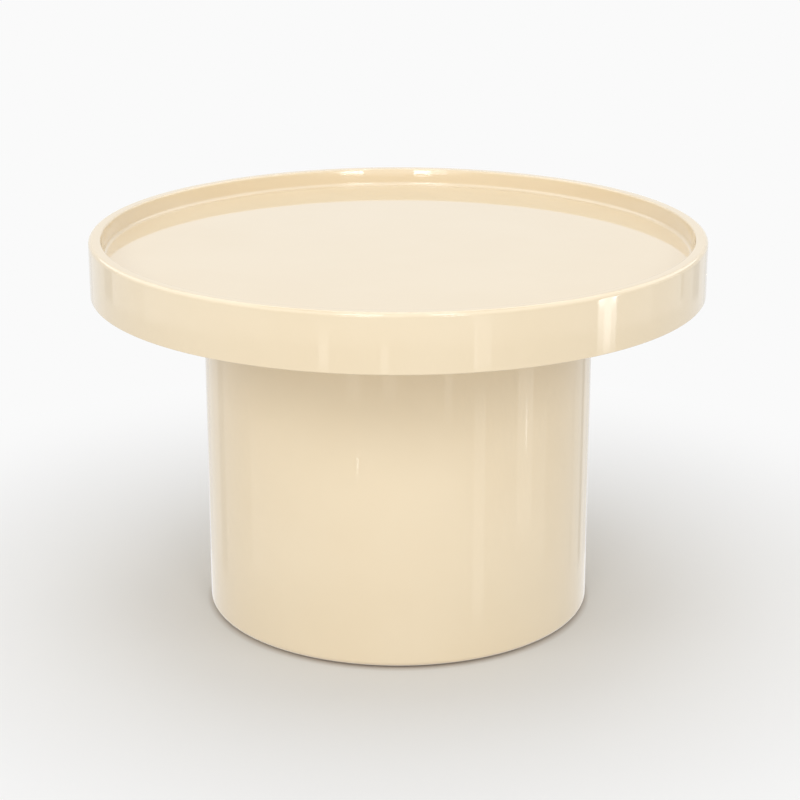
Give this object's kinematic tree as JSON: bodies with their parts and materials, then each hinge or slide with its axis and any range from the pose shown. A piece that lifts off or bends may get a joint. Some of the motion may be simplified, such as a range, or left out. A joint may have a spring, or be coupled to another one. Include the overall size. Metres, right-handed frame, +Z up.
{
  "type": "round side table",
  "caption": "Low round side table: a shallow gloss-lacquered tray with a raised rim on a wide plain drum, which stands on hidden screw-adjustable levelling feet.",
  "frame": {"origin": "on the floor under the centre of the drum, with the levelling feet screwed fully in", "axes": "+Z up along the drum's axis; the picture looks along +Y, with +X to its right"},
  "size_m": [0.6, 0.6, 0.38],
  "materials": {
    "cream_lacquer": "high-gloss lacquer",
    "cream_sealer": "satin sealer",
    "fibreboard": "raw board",
    "pine": "planed",
    "beech": "turned",
    "zinc_steel": "zinc plated",
    "yellow_zinc_steel": "yellow zinc plated",
    "zinc_alloy": "die cast",
    "black_nylon": "moulded"
  },
  "bodies": {
    "table": {"tray_rim": "cream_lacquer", "tray_panel": "cream_lacquer", "tray_backing_board": "cream_sealer", "tray_inserts": "zinc_alloy", "fixing_bolts": "zinc_steel", "fixing_washers": "zinc_steel", "locating_dowels": "beech", "base_shell": "cream_lacquer", "base_top_plate": "fibreboard", "base_bottom_ring": "fibreboard", "upper_frame_screws": "yellow_zinc_steel", "lower_frame_screws": "yellow_zinc_steel", "leveller_inserts": "zinc_alloy", "base_upright_1": "pine", "base_upright_2": "pine", "base_upright_3": "pine", "base_upright_4": "pine"},
    "leveller_pad_1": {"leveller_pad_1": "black_nylon"},
    "leveller_stem_1": {"leveller_stem_1": "zinc_steel"},
    "leveller_pad_2": {"leveller_pad_2": "black_nylon"},
    "leveller_stem_2": {"leveller_stem_2": "zinc_steel"},
    "leveller_pad_3": {"leveller_pad_3": "black_nylon"},
    "leveller_stem_3": {"leveller_stem_3": "zinc_steel"},
    "leveller_pad_4": {"leveller_pad_4": "black_nylon"},
    "leveller_stem_4": {"leveller_stem_4": "zinc_steel"}
  },
  "joints": [
    {"name": "leveller_1_extend", "type": "slide", "parent": "table", "child": "leveller_pad_1", "axis": [0, 0, -1], "range_m": [0, 0.012]},
    {"name": "leveller_1_screw", "type": "hinge", "parent": "leveller_pad_1", "child": "leveller_stem_1", "pos_m": [0.11031, 0.11031, 0.0086], "axis": [0, 0, -1], "range_deg": [0, 3456]},
    {"name": "leveller_2_extend", "type": "slide", "parent": "table", "child": "leveller_pad_2", "axis": [0, 0, -1], "range_m": [0, 0.012]},
    {"name": "leveller_2_screw", "type": "hinge", "parent": "leveller_pad_2", "child": "leveller_stem_2", "pos_m": [-0.11031, 0.11031, 0.0086], "axis": [0, 0, -1], "range_deg": [0, 3456]},
    {"name": "leveller_3_extend", "type": "slide", "parent": "table", "child": "leveller_pad_3", "axis": [0, 0, -1], "range_m": [0, 0.012]},
    {"name": "leveller_3_screw", "type": "hinge", "parent": "leveller_pad_3", "child": "leveller_stem_3", "pos_m": [-0.11031, -0.11031, 0.0086], "axis": [0, 0, -1], "range_deg": [0, 3456]},
    {"name": "leveller_4_extend", "type": "slide", "parent": "table", "child": "leveller_pad_4", "axis": [0, 0, -1], "range_m": [0, 0.012]},
    {"name": "leveller_4_screw", "type": "hinge", "parent": "leveller_pad_4", "child": "leveller_stem_4", "pos_m": [0.11031, -0.11031, 0.0086], "axis": [0, 0, -1], "range_deg": [0, 3456]}
  ],
  "couplings": [
    {"joint": "leveller_1_screw", "follows": "leveller_1_extend", "rad_per_m": 5026.5},
    {"joint": "leveller_2_screw", "follows": "leveller_2_extend", "rad_per_m": 5026.5},
    {"joint": "leveller_3_screw", "follows": "leveller_3_extend", "rad_per_m": 5026.5},
    {"joint": "leveller_4_screw", "follows": "leveller_4_extend", "rad_per_m": 5026.5}
  ]
}
